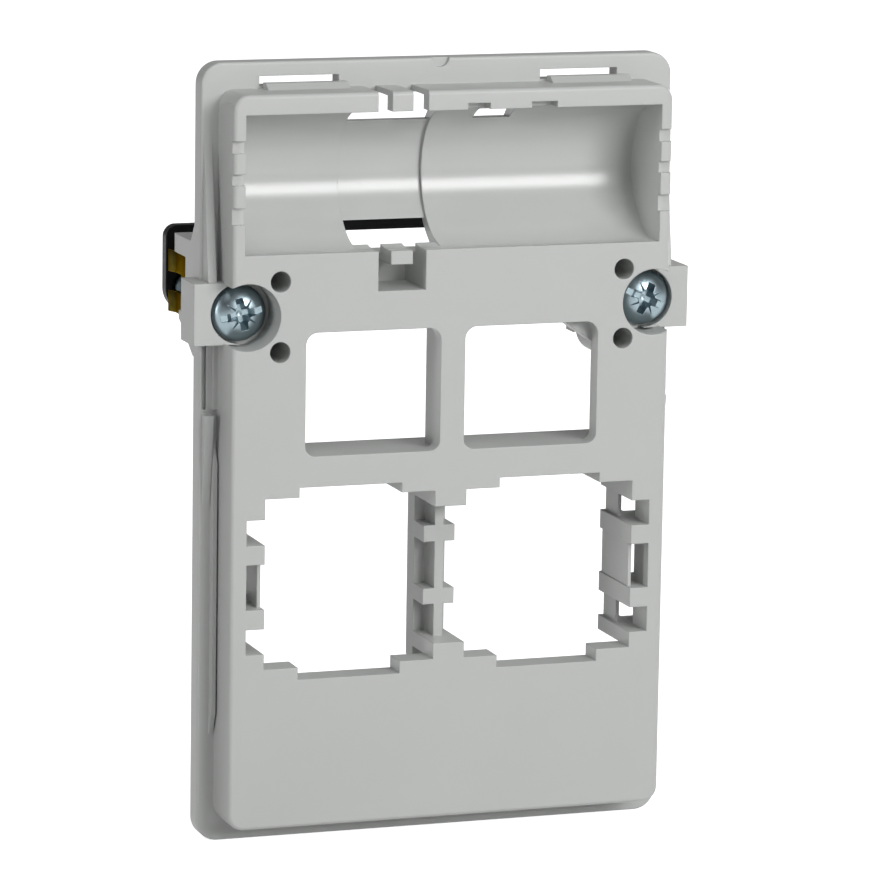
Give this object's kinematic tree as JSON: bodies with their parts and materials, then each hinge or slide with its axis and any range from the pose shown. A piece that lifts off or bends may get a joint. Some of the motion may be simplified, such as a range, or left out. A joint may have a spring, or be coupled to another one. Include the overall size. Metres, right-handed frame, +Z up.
{
  "type": "ethernet wall socket mounting frame",
  "caption": "Moulded one-and-a-half-module frame for data jacks, with a half-round trough, marking windows, open jack bays, and screw-driven claws that grip a wall box.",
  "frame": {"origin": "middle of the back plate, on the plane that lies against the wall", "axes": "+X to the right and +Z up as seen from the room, +Y into the wall"},
  "size_m": [0.0498, 0.026, 0.075],
  "materials": {
    "grey_plastic": "moulded, fine satin",
    "zinc_steel": "bright zinc plated",
    "yellow_passivated_steel": "yellow passivated",
    "black_steel": "black, low gloss"
  },
  "bodies": {
    "frame": {"mounting_frame": "grey_plastic", "claw_strap": "black_steel"},
    "screw_left": {"clamp_screw_left": "zinc_steel"},
    "screw_right": {"clamp_screw_right": "zinc_steel"},
    "claw_left": {"claw_plate_left": "yellow_passivated_steel"},
    "claw_right": {"claw_plate_right": "yellow_passivated_steel"}
  },
  "joints": [
    {"name": "screw_left_turn", "type": "hinge", "parent": "frame", "child": "screw_left", "pos_m": [-0.02035, 0, 0.01405], "axis": [0, 1, 0], "range_deg": [-1230, 2530]},
    {"name": "screw_right_turn", "type": "hinge", "parent": "frame", "child": "screw_right", "pos_m": [0.02035, 0, 0.01405], "axis": [0, 1, 0], "range_deg": [-1230, 2530]},
    {"name": "claw_left_travel", "type": "slide", "parent": "frame", "child": "claw_left", "axis": [0, -1, 0], "range_m": [-0.0017, 0.0035]},
    {"name": "claw_right_travel", "type": "slide", "parent": "frame", "child": "claw_right", "axis": [0, -1, 0], "range_m": [-0.0017, 0.0035]}
  ],
  "couplings": [
    {"joint": "screw_left_turn", "follows": "claw_left_travel", "rad_per_m": 12566},
    {"joint": "screw_right_turn", "follows": "claw_right_travel", "rad_per_m": 12566}
  ]
}
